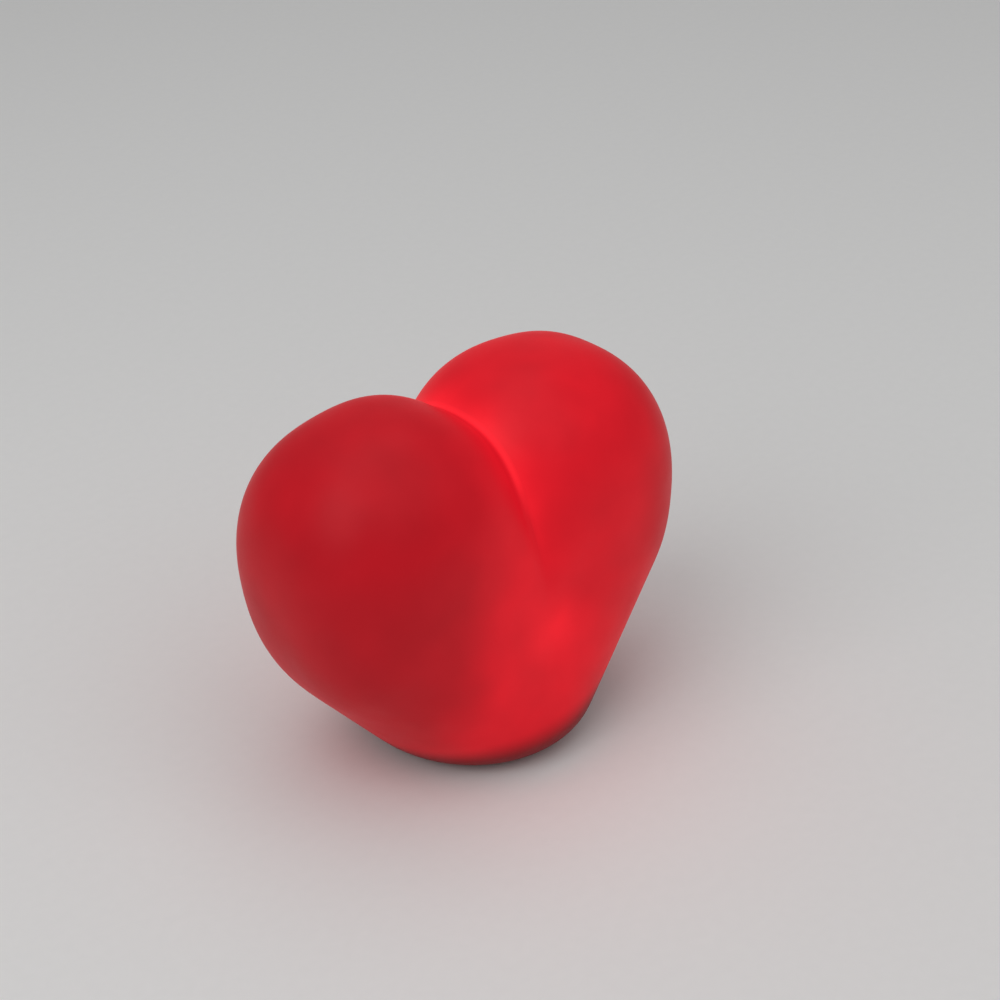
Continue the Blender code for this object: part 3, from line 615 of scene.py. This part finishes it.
def cross_recess(x, y, low, reach):
    """A cutter for a cross recess that narrows as it goes in."""
    half, below = 0.24 * reach, 0.2 * MM
    quarter = [(reach, -half), (reach, half), (half, half)]
    bm = bmesh.new()
    rings = []
    for height, share in ((low - below, 1.1), (low + RECESS_DEPTH, 0.75)):
        ring = []
        for turn in range(4):
            c, s = ((1, 0), (0, 1), (-1, 0), (0, -1))[turn]
            ring += [bm.verts.new((x + share * (a * c - b * s), y + share * (a * s + b * c), height))
                     for a, b in quarter]
        rings.append(ring)
    bm.faces.new(rings[0])
    bm.faces.new(rings[1])
    for i in range(len(rings[0])):
        j = (i + 1) % len(rings[0])
        bm.faces.new((rings[0][i], rings[0][j], rings[1][j], rings[1][i]))
    return bm


def make_screws(mat):
    """Threaded screws, each in the place of its plain CAD solid."""
    bodies = {f"base_screw_{n}": "lamp" for n in (1, 2, 3)}
    bodies.update({f"board_screw_{n}": "lamp" for n in (1, 2)})
    bodies["door_screw"] = "screw"
    for node, body in bodies.items():
        low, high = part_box(node)
        x, y = (low.x + high.x) / 2, (low.y + high.y) / 2
        head = (high.x - low.x) / 2
        bm = screw_bmesh(x, y, low.z, high.z, head, low.z + HEAD_HEIGHT, SHANK_SHARE * head)
        screw = solid(node + "_threaded", bm, mat)
        cut(screw, solid("recess", cross_recess(x, y, low.z, RECESS_REACH * head)))
        screw.data.set_sharp_from_angle(angle=math.radians(40))
        settle(screw, body, "screw_steel", node)


# ---------------------------------------------------------------- moulded marks and solder

def add_bar(bm, low, high, edge=0.08 * MM):
    """A small raised bar with bevelled edges."""
    size = [b - a for a, b in zip(low, high)]
    middle = [(a + b) / 2 for a, b in zip(low, high)]
    made = bmesh.ops.create_cube(bm, size=1.0, matrix=Matrix.Translation(middle)
                                 @ Matrix.Diagonal((*size, 1.0)))
    edges = list({e for v in made["verts"] for e in v.link_edges})
    bmesh.ops.bevel(bm, geom=edges, offset=edge, segments=2, affect='EDGES')


def add_ring(bm, x, y, outer, inner, low, high, steps=40):
    """A small raised ring with a rounded face."""
    edge = (outer - inner) / 3
    section = [(inner, high), (inner, low + edge / 2), (inner + edge, low), (outer - edge, low),
               (outer, low + edge / 2), (outer, high)]
    rings = [ring_verts(bm, x, y, [corner] * steps) for corner in section]
    join_rings(bm, rings + rings[:1])


def add_dot(bm, x, y, radius, low, high, steps=32):
    """A low round pad that points down, with a softened edge."""
    edge = min(radius / 3, (high - low) / 2)
    add_turned(bm, [(0.0, low), (radius - edge, low), (radius, low + edge), (radius, high), (0.0, high)],
               x, y, steps)


def make_base_marks(mat):
    """On and off signs beside the switch, ejector-pin pads and the gate mark on the plate's face."""
    plate_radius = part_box("base_plate")[1].x
    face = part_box("battery_door")[0].z
    sunk = face + MARK_SUNK
    switch_low, switch_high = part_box("switch_body")
    switch_y = (switch_low.y + switch_high.y) / 2
    bm = bmesh.new()
    add_bar(bm, (SIGN_X - SIGN_WIDTH / 2, switch_y - SIGN_LENGTH / 2, face - SIGN_PROUD),
            (SIGN_X + SIGN_WIDTH / 2, switch_y + SIGN_LENGTH / 2, sunk))
    add_ring(bm, -SIGN_X, switch_y, 0.85 * MM, 0.45 * MM, face - SIGN_PROUD, sunk)
    piece("switch_signs", bm, mat, "lamp", "white_plastic")

    bm = bmesh.new()
    pads_circle = 0.78 * plate_radius
    for degrees in PAD_ANGLES:
        a = math.radians(degrees)
        add_dot(bm, pads_circle * math.cos(a), pads_circle * math.sin(a), PAD_RADIUS, face - PAD_PROUD, sunk)
    add_dot(bm, 6.0 * MM, -0.6 * plate_radius, 0.5 * MM, face - 0.15 * MM, sunk)
    piece("moulding_marks", bm, mat, "lamp", "white_plastic")


def make_door_marks(mat):
    """Grip ribs, and a raised diagram of three cells in a row with a plus and a minus sign."""
    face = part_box("battery_door")[0].z
    sunk = face + MARK_SUNK
    bm = bmesh.new()
    for i in range(RIB_COUNT):
        x = RIB_FIRST + i * RIB_PITCH
        add_bar(bm, (x, -RIB_HALF_LENGTH, face - RIB_PROUD), (x + RIB_WIDTH, RIB_HALF_LENGTH, sunk),
                0.15 * MM)
    piece("door_grip_ribs", bm, mat, "door", "white_plastic")

    bm = bmesh.new()
    proud = face - DIAGRAM_PROUD
    crossing = proud + 0.02 * MM    # lines that cross others stand out a little less
    right = DIAGRAM_LEFT + DIAGRAM_CELLS * DIAGRAM_CELL

    def line(low_x, high_x, low_y, high_y, height):
        add_bar(bm, (low_x, low_y, height), (high_x, high_y, sunk), 0.05 * MM)

    half_line = DIAGRAM_LINE / 2
    for i in range(DIAGRAM_CELLS + 1):
        x = DIAGRAM_LEFT + i * DIAGRAM_CELL
        line(x - half_line, x + half_line, -DIAGRAM_HALF_WIDTH, DIAGRAM_HALF_WIDTH, proud)
    for y in (-DIAGRAM_HALF_WIDTH, DIAGRAM_HALF_WIDTH):
        line(DIAGRAM_LEFT, right, y - half_line, y + half_line, crossing)
    sign = 0.5 * MM
    for i in range(DIAGRAM_CELLS):
        x = DIAGRAM_LEFT + (i + 0.5) * DIAGRAM_CELL
        minus, plus = x - 1.35 * MM, x + MM
        line(minus, minus + 0.25 * MM, -sign, sign, proud)
        line(plus - sign, plus + sign, -half_line, half_line, proud)
        line(plus - half_line, plus + half_line, -sign, sign, crossing)
    piece("door_cell_diagram", bm, mat, "door", "white_plastic")


def make_knob_grip(mat):
    low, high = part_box("switch_knob")
    bm = bmesh.new()
    for share in (0.25, 0.5, 0.75):
        x = low.x + share * (high.x - low.x)
        add_bar(bm, (x - 0.1 * MM, low.y + 0.25 * MM, low.z - 0.1 * MM),
                (x + 0.1 * MM, high.y - 0.25 * MM, low.z + 0.1 * MM), 0.05 * MM)
    piece("switch_knob_grip", bm, mat, "switch", "black_plastic")


def make_solder(mat):
    """Solder cones where the LED's leads and the switch's wires meet the board and the switch."""
    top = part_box("circuit_board")[1].z
    joints = []
    for lead in ("led_lead_1", "led_lead_2"):
        low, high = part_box(lead)
        joints.append(((low.x + high.x) / 2, (low.y + high.y) / 2, top, 0.75 * MM))
    for wire in ("switch_wire_red", "switch_wire_black"):
        low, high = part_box(wire)
        joints.append(((low.x + high.x) / 2, low.y + 0.5 * MM, top, 0.95 * MM))
    bm = bmesh.new()
    rings = 6
    for x, y, base, radius in joints:
        flare = [(radius * (1.0 - 0.62 * (i / rings) ** 0.6), base + radius * 0.95 * (i / rings) ** 1.7)
                 for i in range(rings + 1)]
        add_turned(bm, [(0.0, base)] + flare + [(0.0, base + radius)], x, y, 24)
    piece("solder_joints", bm, mat, "lamp", "contact_nickel")


# ---------------------------------------------------------------- CAD nodes

def paint(mat, *nodes):
    """Gives CAD nodes a better material; their shapes stay."""
    for name in nodes:
        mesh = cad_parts[name].data
        mesh.materials.clear()
        mesh.materials.append(mat)


def finish_hardware():
    """The rigid pieces: materials for the CAD nodes, and the fine pieces that go with them."""
    white = moulded_plastic("white_plastic", (0.80, 0.785, 0.75), (0.72, 0.70, 0.66), 0.46)
    black = moulded_plastic("black_plastic", (0.030, 0.030, 0.032), (0.018, 0.018, 0.020), 0.48, 0.18 * MM)
    nickel = plated_metal("contact_nickel", (0.74, 0.71, 0.64), (0.58, 0.55, 0.48), 0.26, (1.0, 1.0, 0.08))
    zinc = plated_metal("screw_zinc", (0.66, 0.67, 0.68), (0.50, 0.50, 0.50), 0.30)
    paint(white, "base_plate", "puck_housing", "battery_holder", "battery_door")
    paint(black, "switch_body", "switch_knob")
    paint(nickel, "positive_contact", "negative_contact", "negative_spring", "led_lead_1", "led_lead_2")
    make_screws(zinc)
    paint(cell_can(), "button_cell_1", "button_cell_2", "button_cell_3")
    paint(board_laminate(), "circuit_board")
    paint(chip_resin(), "controller_chip")
    paint(resistor_ceramic(), "resistor")
    paint(led_epoxy(), "led_lens")
    paint(wire_insulation("red_insulation", (0.60, 0.02, 0.02), (0.45, 0.01, 0.012)), "switch_wire_red")
    paint(wire_insulation("black_insulation", (0.03, 0.03, 0.03), (0.016, 0.016, 0.017)),
          "switch_wire_black")
    make_base_marks(white)
    make_door_marks(white)
    make_knob_grip(black)
    make_solder(solder())


# ---------------------------------------------------------------- floor, lights and camera

def make_floor():
    bm = bmesh.new()
    bmesh.ops.create_grid(bm, x_segments=1, y_segments=1, size=3.0)
    floor = link("floor", bpy.data.meshes.new("floor"), floor_paper())
    bm.to_mesh(floor.data)
    bm.free()


def area_light(name, azimuth, elevation, distance, size, watts):
    """A square soft light that faces the object's middle."""
    light = bpy.data.lights.new(name, 'AREA')
    light.size = size
    light.energy = watts
    obj = bpy.data.objects.new(name, light)
    bpy.context.scene.collection.objects.link(obj)
    a, e = math.radians(azimuth), math.radians(elevation)
    back = Vector((math.sin(a) * math.cos(e), -math.cos(a) * math.cos(e), math.sin(e)))
    obj.location = back * distance + Vector((0.0, 0.0, HEART_HEIGHT / 2))
    obj.rotation_mode = 'QUATERNION'
    obj.rotation_quaternion = (-back).to_track_quat('-Z', 'Y')


def make_lights():
    area_light("key_light", azimuth=-80.0, elevation=48.0, distance=1.1, size=0.9, watts=3.6)
    area_light("fill_light", azimuth=10.0, elevation=50.0, distance=1.3, size=1.1, watts=2.6)
    area_light("top_light", azimuth=160.0, elevation=80.0, distance=1.2, size=1.0, watts=2.4)
    world = bpy.context.scene.world or bpy.data.worlds.new("studio")
    bpy.context.scene.world = world
    world.use_nodes = True
    background = world.node_tree.nodes["Background"]
    background.inputs["Color"].default_value = (1.0, 1.0, 1.0, 1.0)
    background.inputs["Strength"].default_value = 0.27
    bpy.context.scene.view_settings.view_transform = 'Standard'


def make_camera():
    a, e, roll = CAMERA_AZIMUTH, CAMERA_ELEVATION, CAMERA_ROLL
    back = Vector((math.sin(a) * math.cos(e), -math.cos(a) * math.cos(e), math.sin(e)))
    right = Vector((math.cos(a), math.sin(a), 0.0))
    up = back.cross(right)
    right, up = (right * math.cos(roll) + up * math.sin(roll), up * math.cos(roll) - right * math.sin(roll))
    data = bpy.data.cameras.new("camera")
    data.lens = CAMERA_LENS
    data.clip_start = 0.01
    camera = bpy.data.objects.new("camera", data)
    bpy.context.scene.collection.objects.link(camera)
    turn = Matrix((right, up, back)).transposed().to_4x4()
    place = back * CAMERA_DISTANCE + right * CAMERA_AIM_RIGHT + up * CAMERA_AIM_UP
    camera.matrix_world = Matrix.Translation(place) @ turn
    bpy.context.scene.camera = camera


make_camera()
make_lights()
make_floor()
finish_hardware()
make_heart(glowing_vinyl())
